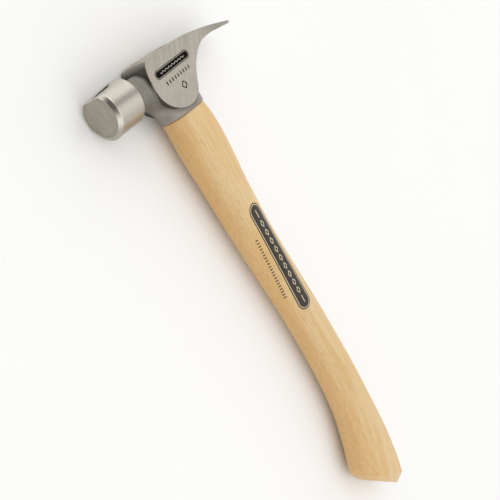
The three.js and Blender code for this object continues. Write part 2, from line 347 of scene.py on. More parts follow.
def pad_cuts(x, y, z):
    """What is cut from the poll's top: the nail groove, the nail head's pocket, the magnet's hole."""
    depth, along = pad_axes(x, y)
    half = (GROOVE_LENGTH - GROOVE_WIDTH) / 2
    beyond = np.maximum(np.abs(along - (GROOVE_Y - PAD_CENTRE_Y)) - half, 0)
    centre_depth = GROOVE_DEPTH - GROOVE_WIDTH / 2
    groove = np.sqrt(beyond ** 2 + (depth - centre_depth) ** 2 + z * z) - GROOVE_WIDTH / 2
    pocket = np.hypot(along - (GROOVE_Y - PAD_CENTRE_Y), z) - NAIL_HEAD_RADIUS
    pocket = smooth_max(pocket, depth - NAIL_HEAD_DEPTH, 0.4)
    hole = np.hypot(along - (MAGNET_Y - PAD_CENTRE_Y), z) - MAGNET_RADIUS - MAGNET_GAP
    hole = np.maximum(hole, depth - MAGNET_LENGTH - MAGNET_GAP)
    return np.minimum(smooth_min(groove, pocket, 0.5), hole)


def core_field(x, y, z):
    """The neck and the collar, run together and kept just below the level of the cheeks."""
    neck = np.hypot((x - NECK_X) / NECK_HALF_X, z / NECK_HALF_Z) - 1
    neck = np.maximum(neck * NECK_HALF_X, np.maximum(NECK_START_Y - y, y - NECK_END_Y))
    core = smooth_min(neck, collar_field(x, y, z), 12)
    room = 1.6 * smooth_step(-y, 18, 26) + 0.6 * smooth_step(x, 17, 24)
    return smooth_max(core, np.abs(z) - CORE_Z - room, 1.2)


def head_field(x, y, z):
    """Signed distance to the whole head."""
    radius = np.hypot(x, z)
    core = core_field(x, y, z)
    # The fillet between the core and the body is tighter near the cheeks
    fillet = 0.6 + 1.4 * (1 - smooth_step(np.abs(z), 9, 11))
    head = smooth_min(core, body_field(x, y, z), fillet)
    head = smooth_max(head, np.abs(z) - CHEEK_Z, 0.3)
    head = smooth_min(head, polygon_distance(POLL, radius, y), 0.8)
    # The pad's plane cuts the poll and leaves the body alone
    depth, _ = pad_axes(x, y)
    head = np.where(y < -20, smooth_max(head, -depth, 0.5), head)
    head = smooth_max(head, -pad_cuts(x, y, z), 0.3)
    return smooth_max(head, -eye_field(x, y, z), 0.8)


# ---- meshing

def crossings(field, axes, value):
    """Where the grid's edges cross the surface: cell index, axis, point, and if the start is inside."""
    corner = np.array([a[0] for a in axes])
    cell = axes[0][1] - axes[0][0]
    found = []
    for axis in range(3):
        low = [slice(None)] * 3
        high = [slice(None)] * 3
        low[axis] = slice(None, -1)
        high[axis] = slice(1, None)
        start, end = value[tuple(low)], value[tuple(high)]
        index = np.argwhere((start < 0) != (end < 0))
        step = np.zeros(3)
        step[axis] = cell
        base = corner + index * cell
        near, far = start[tuple(index.T)], end[tuple(index.T)]
        t_near, t_far = np.zeros(len(index)), np.ones(len(index))
        for _ in range(3):
            t = t_near + (t_far - t_near) * near / (near - far)
            here = field(*(base + t[:, None] * step).T)
            same = (here < 0) == (near < 0)
            near, t_near = np.where(same, here, near), np.where(same, t, t_near)
            far, t_far = np.where(same, far, here), np.where(same, t_far, t)
        t = t_near + (t_far - t_near) * near / (near - far)
        first_inside = start[tuple(index.T)] < 0
        found.append((index, axis, base + t[:, None] * step, first_inside))
    return found


def gradient(field, points, reach=0.02):
    """Unit normals of the field at some points."""
    slope = np.empty_like(points)
    for axis in range(3):
        step = np.zeros(3)
        step[axis] = reach
        slope[:, axis] = field(*(points + step).T) - field(*(points - step).T)
    return slope / np.maximum(np.linalg.norm(slope, axis=1, keepdims=True), 1e-9)


def dual_contour(field, low, high, cell):
    """A quad mesh of the surface where field is 0. It keeps sharp edges sharp."""
    axes = [np.arange(a, b + cell, cell) for a, b in zip(low, high)]
    shape = np.array([len(a) for a in axes])
    value = field(*np.meshgrid(*axes, indexing="ij", sparse=True))
    edges = crossings(field, axes, value)

    strides = np.array([shape[1] * shape[2], shape[2], 1])
    cells, points, normals, quads = [], [], [], []
    for index, axis, point, first_inside in edges:
        normal = gradient(field, point)
        b, c = np.eye(3, dtype=int)[[(axis + 1) % 3, (axis + 2) % 3]]
        ring = np.stack([(index - o) @ strides for o in (0 * b, b, b + c, c)], axis=1)
        ring[~first_inside] = ring[~first_inside][:, ::-1]
        quads.append(ring)
        cells.append(ring.ravel())
        points.append(np.repeat(point, 4, axis=0))
        normals.append(np.repeat(normal, 4, axis=0))
    cells = np.concatenate(cells)
    points = np.concatenate(points)
    normals = np.concatenate(normals)
    used, cells = np.unique(cells, return_inverse=True)
    quads = cells.reshape(-1, 4)

    def total(weights):
        return np.bincount(cells, weights, len(used))

    count = total(np.ones(len(cells)))
    centre = np.stack([total(points[:, k]) for k in range(3)], axis=1) / count[:, None]
    offset = np.einsum("ij,ij->i", normals, points - centre[cells])
    matrix = np.empty((len(used), 3, 3))
    target = np.empty((len(used), 3))
    for i in range(3):
        target[:, i] = total(normals[:, i] * offset)
        for j in range(3):
            matrix[:, i, j] = total(normals[:, i] * normals[:, j])
    matrix += 0.02 * count[:, None, None] * np.eye(3)
    vertex = centre + np.linalg.solve(matrix, target[:, :, None])[:, :, 0]
    corner = np.stack(np.unravel_index(used, shape), axis=1) * cell + [a[0] for a in axes]
    return np.clip(vertex, corner, corner + cell), quads


def mesh_object(name, points, faces, smooth_angle=40):
    """A Blender object from points in the hammer's axes."""
    mesh = bpy.data.meshes.new(name)
    mesh.from_pydata(to_frame(points).tolist(), [], [list(map(int, f)) for f in faces])
    mesh.validate()
    mesh.shade_smooth()
    mesh.set_sharp_from_angle(angle=math.radians(smooth_angle))
    obj = bpy.data.objects.new(name, mesh)
    bpy.context.scene.collection.objects.link(obj)
    return obj


def set_attribute(obj, name, values):
    """Gives each point a number that a material reads by its name."""
    attribute = obj.data.attributes.new(name, "FLOAT", "POINT")
    attribute.data.foreach_set("value", np.asarray(values, np.float32))


# ---- pieces

def make_head():
    """The head's mesh, with attributes that say how each place on it is finished and where shade is painted
    on it.
    """
    # The grid reaches a little past the head on every side
    low = (HEAD_TOP_X - CROWN_RISE - 1.4, FACE_Y - 1.2, -POLL_RADIUS - 1.2)
    high = (COLLAR_END_X + 1.4, CLAW_TIP_Y + 1.4, POLL_RADIUS + 1.2)
    points, quads = dual_contour(head_field, low, high, HEAD_CELL)
    head = mesh_object("hammer_head_cast", points, quads)
    x, y, z = points.T
    cheek = smooth_step(np.abs(z), CHEEK_Z - 0.75, CHEEK_Z - 0.25)
    cheek = cheek * smooth_step(y, -24, -22)
    # The ground top runs on over the rounded edge above the front wall
    over_front = smooth_step(y, -8, -12)
    top = 1 - smooth_step(x - top_surface(y, z), 0.5 + 1.0 * over_front, 1.3 + 1.0 * over_front)
    top = top * smooth_step(y, -19.2, -18.2)
    claw_side = smooth_step(polygon_distance(PLAN, y, z), -0.9, -0.3) * smooth_step(y, 24, 27)
    notch_wall = smooth_step(-polygon_distance(NOTCH, y, z), -2.2, -1.6)
    tip = smooth_step(y, 60, 70)
    poll = smooth_step(-y, -POLL_REAR_Y - 0.1, -POLL_REAR_Y + 0.3)
    ground = np.max([cheek, top, claw_side, notch_wall, tip, poll], axis=0)
    # Painted shade: the hollows of the eye round the tongue and of the pad's cuts are painted near black
    hollow_shade = np.maximum(
        smooth_step(-eye_field(x, y, z), -0.5, -0.1) * smooth_step(x, -13.2, -12.2),
        smooth_step(-pad_cuts(x, y, z), -0.3, 0.05) * smooth_step(pad_axes(x, y)[0], 0.3, 0.8),
    )
    # Painted shade: the casting is darkened on the front wall and in the corners round the neck, where
    # shade falls
    core = core_field(x, y, z)
    corner = 1 - smooth_step(np.maximum(np.abs(core), np.abs(body_field(x, y, z))), 0.4, 3.2)
    front_wall_shade = smooth_step(core, 0.2, 1.0) * smooth_step(-y, 8, 12) * (y > POLL_REAR_Y + 4)
    front_wall_shade = front_wall_shade * smooth_step(x, -13, -9)
    corner = corner * (0.45 + 0.75 * smooth_step(x, 6, -2))
    set_attribute(head, "painted_shade", np.maximum(corner, front_wall_shade))
    set_attribute(head, "ground", ground * (1 - hollow_shade))
    set_attribute(head, "hollow_shade", hollow_shade)
    set_attribute(head, "face", smooth_step(-y, -FACE_Y - 0.25, -FACE_Y - 0.05))
    return head


def spread(rows, steps):
    """Rows at even steps along a smooth curve through the given rows."""
    rows = np.array(rows, float)
    chord = np.sqrt(np.linalg.norm(np.diff(rows, axis=0), axis=1))
    knots = np.concatenate([[0], np.cumsum(chord)])
    span = np.diff(knots)[:, None]
    slope = np.diff(rows, axis=0) / span
    middle = (slope[:-1] * span[1:] + slope[1:] * span[:-1]) / (span[1:] + span[:-1])
    tangent = np.vstack([slope[:1], middle, slope[-1:]])
    at = np.linspace(0, knots[-1], steps + 1)
    i = np.clip(np.searchsorted(knots, at, side="right") - 1, 0, len(span) - 1)
    width = span[i]
    t = ((at - knots[i]) / width[:, 0])[:, None]
    return (
        (2 * t ** 3 - 3 * t ** 2 + 1) * rows[i]
        + (t ** 3 - 2 * t ** 2 + t) * width * tangent[i]
        + (3 * t ** 2 - 2 * t ** 3) * rows[i + 1]
        + (t ** 3 - t ** 2) * width * tangent[i + 1]
    )


def oval_ring(row, sides, shrink=0.0):
    """Points round one section: x, y of the centre, half width, half thickness, tilt."""
    x, y, half_y, half_z, tilt = row
    angle = 2 * math.pi * np.arange(sides) / sides
    across = np.sign(np.cos(angle)) * np.abs(np.cos(angle)) ** (2 / OVAL_POWER)
    up = np.sign(np.sin(angle)) * np.abs(np.sin(angle)) ** (2 / OVAL_POWER)
    wide = across * (half_y - shrink)
    lean = math.radians(tilt)
    return np.stack([
        x + wide * math.sin(lean),
        y + wide * math.cos(lean),
        up * (half_z - shrink),
    ], axis=1)


def between(row_a, row_b, t):
    """A row part of the way from row_a to row_b."""
    return tuple(a + (b - a) * t for a, b in zip(row_a, row_b))


def tube(rings):
    """A closed quad tube from rings of points, its ends drawn in to a point."""
    sides = len(rings[0])
    points = np.vstack(rings)
    faces = []
    for r in range(len(rings) - 1):
        for s in range(sides):
            n = (s + 1) % sides
            a, b = r * sides, (r + 1) * sides
            faces.append((a + s, b + s, b + n, a + n))
    first, last = len(points), len(points) + 1
    points = np.vstack([points, rings[0].mean(0), rings[-1].mean(0)])
    end = (len(rings) - 1) * sides
    for s in range(sides):
        n = (s + 1) % sides
        faces.append((first, s, n))
        faces.append((last, end + n, end + s))
    return points, faces


def handle_rings(sides):
    """The handle's sections from the tongue's top to the butt, and how many are on the cut butt."""
    shoulder_x = GRIP[0][0]
    edge, step = 0.5, 1.5
    tongue_x = np.arange(TONGUE_TOP_X + edge, shoulder_x - 1.2, step)
    tongue = [eye_row(x, TONGUE_GAP) for x in [TONGUE_TOP_X, *tongue_x]]
    rings = [oval_ring(tongue[0], sides, shrink) for shrink in (7.2, 5.4, 3.6, 1.8, 0.3)]
    rings += [oval_ring(row, sides) for row in tongue[1:]]
    # The shoulder just under the collar: a small rounded step out of the eye
    grip = spread(GRIP, GRIP_STEPS)
    for x, shrink in ((shoulder_x - 0.35, 1.3), (shoulder_x - 0.1, 0.5), (shoulder_x + 0.25, 0.12)):
        row = (x,) + tuple(grip[0][1:])
        rings.append(oval_ring(row, sides, shrink))
    rings += [oval_ring(row, sides) for row in grip[1:-1]]
    # The rim, the chamfer and the flat end, each corner eased by a close pair of rings
    rim, end = GRIP[-1], BUTT_END
    eased = 0.06
    rings.append(oval_ring(between(grip[-2], rim, 0.75), sides))
    chamfer = [oval_ring(between(rim, end, t), sides) for t in (eased, 0.25, 0.5, 0.75, 1 - eased)]
    flat_end = [oval_ring(end, sides, shrink) for shrink in (0.35, 2.4, 4.8, 7.2, 8.6)]
    return rings + chamfer + flat_end, len(chamfer + flat_end)


def make_handle():
    """The handle's mesh, with attributes for the cut butt and for the side of the handle."""
    rings, cut_count = handle_rings(HANDLE_SIDES)
    points, faces = tube(rings)
    handle = mesh_object("wooden_handle", points, faces, 28)
    # Each attribute ends with its values at the two points that close the tube
    ring_index = np.repeat(np.arange(len(rings)), HANDLE_SIDES)
    cut = (ring_index >= len(rings) - cut_count).astype(float)
    set_attribute(handle, "cut", np.concatenate([cut, [0, 1]]))
    # From -1 on the face's side of the handle to 1 on the claw's side
    angle = 2 * math.pi * np.arange(HANDLE_SIDES) / HANDLE_SIDES
    side = np.tile(np.cos(angle), len(rings))
    set_attribute(handle, "side", np.concatenate([side, [0, 0]]))
    return handle


def wedge_prism(name, shape, centre_y, turned, grow=0.0, above=0.0):
    """A wedge with its point down +X. Its width runs along Y, or along Z when it is turned."""
    top, point, depth, half = shape
    half_top = top / 2 + grow
    half_point = point / 2 + grow
    half += grow
    corners = []
    for x, thick in ((-above, half_top), (depth + grow, half_point)):
        for wide_sign, thick_sign in ((-1, -1), (1, -1), (1, 1), (-1, 1)):
            wide = wide_sign * half
            flat = thick_sign * thick
            y, z = (flat, wide) if turned else (wide, flat)
            corners.append((TONGUE_TOP_X + x, centre_y + y, z))
    sides = [(i, i + 4, (i + 1) % 4 + 4, (i + 1) % 4) for i in range(4)]
    faces = [(0, 1, 2, 3), (7, 6, 5, 4), *sides]
    if not turned:
        faces = [f[::-1] for f in faces]
    return mesh_object(name, corners, faces, 30)


def oval_plug(name, shrink, x_from, x_to):
    """A plug of the eye's own section, for trimming the wood wedge to it."""
    rings = [oval_ring(eye_row(x), PLUG_SIDES, shrink) for x in np.linspace(x_from, x_to, PLUG_STEPS)]
    return mesh_object(name, *tube(rings))


def boolean(obj, cutter, operation):
    """Applies the cutter to obj for good, and removes the cutter."""
    modifier = obj.modifiers.new("cut", "BOOLEAN")
    modifier.operation = operation
    modifier.solver = "EXACT"
    modifier.object = cutter
    apply_modifiers(obj)
    bpy.data.objects.remove(cutter)


def apply_modifiers(obj):
    """Makes a piece's modifiers part of its mesh."""
    depsgraph = bpy.context.evaluated_depsgraph_get()
    mesh = bpy.data.meshes.new_from_object(obj.evaluated_get(depsgraph))
    obj.modifiers.clear()
    obj.data = mesh


def soften(obj, width, segments=2):
    """Rounds a piece's sharp edges."""
    merge_distance = 0.004 * MM
    modifier = obj.modifiers.new("soften", "BEVEL")
    modifier.width = width * MM
    modifier.segments = segments
    modifier.limit_method = "ANGLE"
    modifier.angle_limit = math.radians(35)
    apply_modifiers(obj)
    # The bevel leaves faces with no area where short edges meet
    cleaned = bmesh.new()
    cleaned.from_mesh(obj.data)
    bmesh.ops.remove_doubles(cleaned, verts=cleaned.verts, dist=merge_distance)
    bmesh.ops.dissolve_degenerate(cleaned, edges=cleaned.edges, dist=merge_distance)
    cleaned.to_mesh(obj.data)
    cleaned.free()
    obj.data.shade_smooth()
    obj.data.set_sharp_from_angle(angle=math.radians(50))


def cut_slots(obj):
    """Cuts the steel wedges' slots into a piece."""
    for wedge_y in STEEL_WEDGE_Y.values():
        boolean(obj, wedge_prism("slot", STEEL_WEDGE, wedge_y, True, WEDGE_GAP, 2), "DIFFERENCE")


def make_magnet():
    """A small disc let into the pad, with an eased rim."""
    angle = 2 * math.pi * np.arange(MAGNET_SIDES) / MAGNET_SIDES
    lean = math.atan(PAD_SLOPE)
    along = MAGNET_Y - PAD_CENTRE_Y
    edge, end = MAGNET_RADIUS, MAGNET_LENGTH
    profile = [
        (0.6, 0), (edge - 0.15, 0), (edge - 0.03, 0.05), (edge, 0.18), (edge, 1.4), (edge, end), (0.7, end),
    ]
    rings = []
    for radius, depth in profile:
        v = along + radius * np.cos(angle)
        rings.append(np.stack([
            PAD_CENTRE_X + depth * math.cos(lean) - v * math.sin(lean),
            PAD_CENTRE_Y + depth * math.sin(lean) + v * math.cos(lean),
            radius * np.sin(angle),
        ], axis=1))
    return mesh_object("nail_magnet_disc", *tube(rings))


# ---- material nodes

def set_range(node, start, end, low, high):
    """Sets a Map Range node to go from start..end to low..high along an S curve."""
    node.interpolation_type = "SMOOTHSTEP"
    for name, number in zip(("From Min", "From Max", "To Min", "To Max"), (start, end, low, high)):
        node.inputs[name].default_value = number


class Shader:
    """A material's node tree, built by short calls. A number, a colour or a socket can be an input."""

    def __init__(self, name):
        self.material = bpy.data.materials.new(name)
        self.material.use_nodes = True
        self.tree = self.material.node_tree
        self.tree.nodes.clear()
        self.shader = self.node("ShaderNodeBsdfPrincipled")
        output = self.node("ShaderNodeOutputMaterial")
        self.tree.links.new(self.shader.outputs[0], output.inputs[0])
        self.here = self.node("ShaderNodeTexCoord").outputs["Object"]

    def node(self, kind, **settings):
        made = self.tree.nodes.new(kind)
        for key, value in settings.items():
            setattr(made, key, value)
        return made

    def put(self, socket, value):
        if isinstance(value, bpy.types.NodeSocket):
            self.tree.links.new(value, socket)
        elif value is not None:
            socket.default_value = value

    def math(self, operation, a, b=None):
        """The output of a Math node."""
        made = self.node("ShaderNodeMath", operation=operation)
        for socket, value in zip(made.inputs, (a, b)):
            self.put(socket, value)
        return made.outputs[0]

    def plus(self, a, b):
        return self.math("ADD", a, b)

    def minus(self, a, b):
        return self.math("SUBTRACT", a, b)

    def times(self, a, b):
        return self.math("MULTIPLY", a, b)

    def larger(self, a, b):
        return self.math("MAXIMUM", a, b)

    def smaller(self, a, b):
        return self.math("MINIMUM", a, b)

    def size(self, a):
        return self.math("ABSOLUTE", a)

    def length(self, a, b):
        return self.math("SQRT", self.plus(self.times(a, a), self.times(b, b)))

    def blend(self, factor, a, b):
        """Numbers a and b mixed."""
        made = self.node("ShaderNodeMix", data_type="FLOAT")
        self.put(made.inputs[0], factor)
        self.put(made.inputs[2], a)
        self.put(made.inputs[3], b)
        return made.outputs[0]

    def mix(self, factor, a, b):
        """Colours a and b mixed."""
        made = self.node("ShaderNodeMix", data_type="RGBA")
        self.put(made.inputs[0], factor)
        for socket, value in ((made.inputs[6], a), (made.inputs[7], b)):
            self.put(socket, value + (1,) if isinstance(value, tuple) else value)
        return made.outputs[2]

    def attribute(self, name):
        return self.node("ShaderNodeAttribute", attribute_name=name).outputs["Fac"]

    def coordinates(self, scale=(1, 1, 1), offset=(0, 0, 0), turn=(0, 0, 0)):
        """The place on the piece in millimetres from the hammer's axes, turned, then scaled."""
        move = self.node("ShaderNodeMapping")
        move.inputs["Location"].default_value = tuple(-o / MM - s for o, s in zip(ORIGIN, offset))
        move.inputs["Scale"].default_value = (1 / MM,) * 3
        self.put(move.inputs["Vector"], self.here)
        stretch = self.node("ShaderNodeMapping")
        stretch.inputs["Rotation"].default_value = tuple(math.radians(a) for a in turn)
        self.put(stretch.inputs["Vector"], move.outputs[0])
        size = self.node("ShaderNodeVectorMath", operation="MULTIPLY")
        self.put(size.inputs[0], stretch.outputs[0])
        self.put(size.inputs[1], scale)
        return size.outputs[0]

    def split(self, vector):
        made = self.node("ShaderNodeSeparateXYZ")
        self.put(made.inputs[0], vector)
        return made.outputs

    def noise(self, vector, scale=1.0, detail=3.0, roughness=0.5):
        made = self.node("ShaderNodeTexNoise")
        self.put(made.inputs["Vector"], vector)
        made.inputs["Scale"].default_value = scale
        made.inputs["Detail"].default_value = detail
        made.inputs["Roughness"].default_value = roughness
        return made.outputs["Fac"]

    def ramp(self, value, start, end, low=0.0, high=1.0):
        """value from start..end to low..high along an S curve, held at both ends."""
        made = self.node("ShaderNodeMapRange")
        self.put(made.inputs["Value"], value)
        set_range(made, start, end, low, high)
        return made.outputs[0]

    def bump(self, height, strength, distance):
        """A normal from a height, whose full range is distance in millimetres."""
        made = self.node("ShaderNodeBump")
        made.inputs["Strength"].default_value = strength
        made.inputs["Distance"].default_value = distance * MM
        self.put(made.inputs["Height"], height)
        return made.outputs[0]

    def finish(self, **inputs):
        """Sets the shader's inputs, with _ for the spaces in their names."""
        for name, value in inputs.items():
            self.put(self.shader.inputs[name.replace("_", " ")], value)
        return self.material


# ---- printed and etched marks

def stadium(s, u, v, half_length, half_width):
    """Distance to a round-ended bar along u, negative inside."""
    beyond = s.larger(s.minus(s.size(u), half_length - half_width), 0)
    return s.minus(s.length(beyond, v), half_width)


def line_at(s, distance, at, half_width):
    """Distance to a line that follows a shape's edge, at a given distance from it."""
    return s.minus(s.size(s.minus(distance, at)), half_width)


def inside(s, distance, soft=0.12):
    """1 where a distance is negative, 0 outside."""
    return s.ramp(distance, soft, -soft)


def ticks(s, u, v, period, thickness, half_length, half_height):
    """A row of short plain bars across u."""
    wave = s.math("PINGPONG", u, period / 2)
    bar = s.minus(wave, thickness / 2)
    within_length = s.minus(s.size(u), half_length)
    within_height = s.minus(s.size(v), half_height)
    return inside(s, s.larger(bar, s.larger(within_length, within_height)))


def rotated(s, x, y, centre, angle):
    """u and v about a centre, with u turned from Y towards X by an angle in degrees."""
    dx = s.minus(x, centre[0])
    dy = s.minus(y, centre[1])
    cos, sin = math.cos(math.radians(angle)), math.sin(math.radians(angle))
    u = s.plus(s.times(dy, cos), s.times(dx, sin))
    v = s.minus(s.times(dx, cos), s.times(dy, sin))
    return u, v


def cheek_mark(s, x, y, z):
    """A plain etched bar with a light line and a zigzag, over a row of ticks and a small lozenge."""
    u, v = rotated(s, x, y, (-3.0, 2.5), -2.3)
    bar = stadium(s, u, v, 17.6, 2.7)
    frame_line = inside(s, line_at(s, bar, -0.62, 0.16), 0.08)
    zigzag = s.minus(s.math("PINGPONG", s.times(u, 0.55), 0.9), 0.45)
    within_length = s.minus(s.size(u), 12.6)
    zigzag_line = inside(s, s.larger(line_at(s, v, zigzag, 0.26), within_length), 0.1)
    light = s.larger(frame_line, zigzag_line)
    dark = s.times(inside(s, bar), s.minus(1, light))

    u, v = rotated(s, x, y, (3.9, 2.5), -2.9)
    row = ticks(s, u, v, 2.9, 0.95, 13.2, 1.15)

    u, v = rotated(s, x, y, (10.6, 3.2), -2.9)
    lozenge = line_at(s, s.plus(s.size(u), s.size(v)), 2.3, 0.5)

    mark = s.larger(dark, s.larger(row, inside(s, lozenge)))
    return s.times(mark, s.ramp(z, CHEEK_Z - 0.6, CHEEK_Z - 0.3))


def handle_label(s, x, y, z):
    """A plain round-ended ink panel with a light line and a chain of lozenges, over a row of ticks.

    Gives where the ink is, and where the light lines in it are.
    """
    u, v = rotated(s, x, y, (139.0, 1.7), 91.2)
    panel = stadium(s, u, v, 42.5, 6.3)
    frame_line = line_at(s, panel, -1.15, 0.24)
    repeat = s.math("PINGPONG", u, 3.4)
    lozenge = line_at(s, s.plus(s.times(repeat, 0.62), s.size(v)), 1.45, 0.3)
    lozenge = s.larger(lozenge, s.minus(s.size(u), 30.6))
    tail = s.larger(s.minus(s.size(v), 0.32), line_at(s, s.size(u), 34.6, 2.8))
    light = s.larger(inside(s, frame_line), inside(s, s.smaller(lozenge, tail)))
    dark = s.times(inside(s, panel), s.minus(1, light))

    u, v = rotated(s, x, y, (141.0, -8.9), 91.2)
    row = ticks(s, u, v, 2.3, 0.85, 24.2, 0.8)

    upper_side = s.ramp(z, 1.0, 3.0)
    ink = s.times(s.larger(dark, row), upper_side)
    return ink, s.times(s.times(light, inside(s, panel)), upper_side)


# ---- materials

# Colours of the head. A pair gives the darker and the lighter side of the scratches or the grain.
BRUSHED = (0.47, 0.43, 0.37), (0.565, 0.53, 0.47)
BRUSHED_STREAK = (0.38, 0.35, 0.285)
BRUSHED_SPECK = (0.29, 0.26, 0.215)
CLAW_END = (0.28, 0.26, 0.22)
POLISHED = (0.49, 0.455, 0.40), (0.60, 0.56, 0.50)
STRUCK_AND_SHADED_FACE = (0.30, 0.275, 0.23), (0.44, 0.41, 0.355)
STRUCK_FACE_RIM = (0.24, 0.22, 0.18)
# Painted highlight on the chamfer's upper side and painted dark reflection on its lower side
CHAMFER_UPPER_HIGHLIGHT = (0.70, 0.66, 0.59)
CHAMFER_LOWER_SHADE = (0.42, 0.39, 0.34)
CAST = (0.22, 0.215, 0.185), (0.33, 0.32, 0.275)
CAST_BLOTCH = (0.27, 0.24, 0.205)
CAST_COLLAR = (0.40, 0.365, 0.325)
# Painted shade for the front wall and the corners round the neck
CAST_PAINTED_SHADE = (0.045, 0.04, 0.034)
# Painted shade for the hollows
PAINTED_HOLLOW_SHADE = (0.012, 0.011, 0.01)
ETCHED = (0.006, 0.0055, 0.005)

# How far the brushing on the cheeks leans, in degrees
BRUSH_TURN = (0, 0, 36)


def ground_colour(s, x, y, radius, scratch, poll, face, edge):
    """Colour of the ground metal: brushed on the body, polished on the poll, struck on its face."""
    streaks = s.noise(s.coordinates((0.022, 0.5, 0.4), turn=BRUSH_TURN))
    streaks = s.times(s.ramp(streaks, 0.38, 0.66), s.ramp(x, 4, -8, 0.12, 0.5))
    specks = s.noise(s.coordinates(), 1.5, 3, 0.7)
    colour = s.mix(s.ramp(scratch, 0.25, 0.75), *BRUSHED)
    colour = s.mix(streaks, colour, BRUSHED_STREAK)
    colour = s.mix(s.ramp(y, 30, 60, 0, 0.7), colour, CLAW_END)
    colour = s.mix(s.ramp(specks, 0.35, 0.7, 0, 0.4), colour, BRUSHED_SPECK)

    polished = s.mix(s.ramp(scratch, 0.25, 0.75), *POLISHED)
    colour = s.mix(s.times(poll, s.minus(1, face)), colour, polished)

    # The struck face is darker partly for its duller struck finish and partly as a painted dark reflection
    # of the shaded floor in front of it
    struck_and_shaded = s.mix(s.ramp(scratch, 0.3, 0.7), *STRUCK_AND_SHADED_FACE)
    struck_and_shaded = s.mix(s.ramp(radius, FACE_RADIUS - 2.5, FACE_RADIUS, 0, 0.35), struck_and_shaded, STRUCK_FACE_RIM)
    colour = s.mix(face, colour, struck_and_shaded)
    # The polished chamfer and the rim line behind it carry a painted highlight above and a painted dark
    # reflection below
    return s.mix(edge, colour, s.mix(s.ramp(x, 7, 11), CHAMFER_UPPER_HIGHLIGHT, CHAMFER_LOWER_SHADE))


def cast_colour(s, x, grain, painted_shade, hollow_shade):
    """Colour of the casting where it isn't ground, with painted shade on the front wall, in the corners
    round the neck and in the hollows.
    """
    blotch = s.noise(s.coordinates(), 0.16)
    colour = s.mix(s.ramp(grain, 0.3, 0.7), *CAST)
    colour = s.mix(s.ramp(blotch, 0.35, 0.7, 0, 0.6), colour, CAST_BLOTCH)
    colour = s.mix(s.ramp(x, 13, 19, 0, 0.7), colour, CAST_COLLAR)
    # Painted shade on the front wall and in the corners round the neck
    colour = s.mix(s.times(painted_shade, 0.82), colour, CAST_PAINTED_SHADE)
    # Painted shade in the hollows
    return s.mix(hollow_shade, colour, PAINTED_HOLLOW_SHADE)


def head_material():
    """Ground metal on the poll, cheeks, top and claws, and casting skin on all the rest."""
    s = Shader("brushed_and_cast_titanium")
    ground, hollow_shade, face, painted_shade = (s.attribute(name) for name in ("ground", "hollow_shade", "face", "painted_shade"))
    x, y, z = s.split(s.coordinates())
    radius = s.length(x, z)
    mark = cheek_mark(s, x, y, z)
    grain = s.noise(s.coordinates(), 2.6, 6, 0.62)

    # The poll, the polished chamfer round its face, and the rim behind the chamfer, where a bright line is
    # a painted highlight
    poll = s.ramp(y, POLL_REAR_Y + 2, POLL_REAR_Y)
    rear = FACE_Y + POLL_CHAMFER
    off_face = s.ramp(radius, FACE_RADIUS, FACE_RADIUS + 0.3)
    chamfer = s.times(off_face, s.ramp(y, rear + 0.2, rear - 0.1))
    rim = s.times(s.ramp(y, rear - 0.3, rear), s.ramp(y, rear + 0.9, rear + 0.3))

    # Long fine scratches lean across the cheeks, and run along the poll and down its face
    on_cheek = s.noise(s.coordinates((0.05, 2.6, 1.0), turn=BRUSH_TURN), 1.4, 5, 0.62)
    round_poll = s.noise(s.coordinates((0.25, 4.0, 0.25)), 1.0, 5, 0.6)
    down_face = s.noise(s.coordinates((0.16, 1.0, 3.2), turn=(0, 12, 0)), 1.0, 5, 0.65)
    scratch = s.blend(face, s.blend(poll, on_cheek, round_poll), down_face)

    bright = ground_colour(s, x, y, radius, scratch, poll, face, s.larger(chamfer, rim))
    colour = s.mix(ground, cast_colour(s, x, grain, painted_shade, hollow_shade), bright)
    colour = s.mix(mark, colour, ETCHED)

    rough = s.ramp(scratch, 0.25, 0.75, 0.48, 0.36)
    rough = s.blend(poll, rough, s.ramp(scratch, 0.25, 0.75, 0.34, 0.26))
    rough = s.plus(rough, s.ramp(x, 6, 13, 0, 0.14))
    rough = s.blend(face, rough, 0.42)
    rough = s.blend(chamfer, rough, 0.2)
    rough = s.blend(ground, s.ramp(grain, 0.3, 0.7, 0.62, 0.50), rough)
    rough = s.plus(rough, s.times(mark, 0.2))

    cast_height = s.times(s.minus(1, ground), grain)
    scratch_height = s.times(s.times(ground, scratch), 0.35)
    height = s.minus(s.plus(cast_height, scratch_height), s.times(mark, 0.25))
    return s.finish(Base_Color=colour, Roughness=rough, Metallic=1.0, Normal=s.bump(height, 0.5, 0.12))


# Colours of the woods: the pale and the warm wood, and the late wood of the growth rings
HICKORY = (0.79, 0.595, 0.33), (0.74, 0.495, 0.22), (0.54, 0.32, 0.12)
WEDGE_WOOD = (0.44, 0.28, 0.14), (0.36, 0.21, 0.10), (0.20, 0.105, 0.045)
# Heartwood colour that also stands in for painted shade on the face's side
HEARTWOOD_AND_SHADE = (0.72, 0.41, 0.145)
BACK_WOOD = (0.69, 0.41, 0.17)
FLECK = (0.50, 0.25, 0.08)
CUT_WOOD = (0.78, 0.55, 0.31)
INK = (0.009, 0.0085, 0.007)
LABEL_LINE = (0.70, 0.60, 0.42)

# The handle's grain runs straight to here, and bends from here to the butt
BEND_START_X = 235
GRAIN_BEND = 0.0022
# How far the grain leans from the handle's axis, in degrees
GRAIN_TURN = -1.3


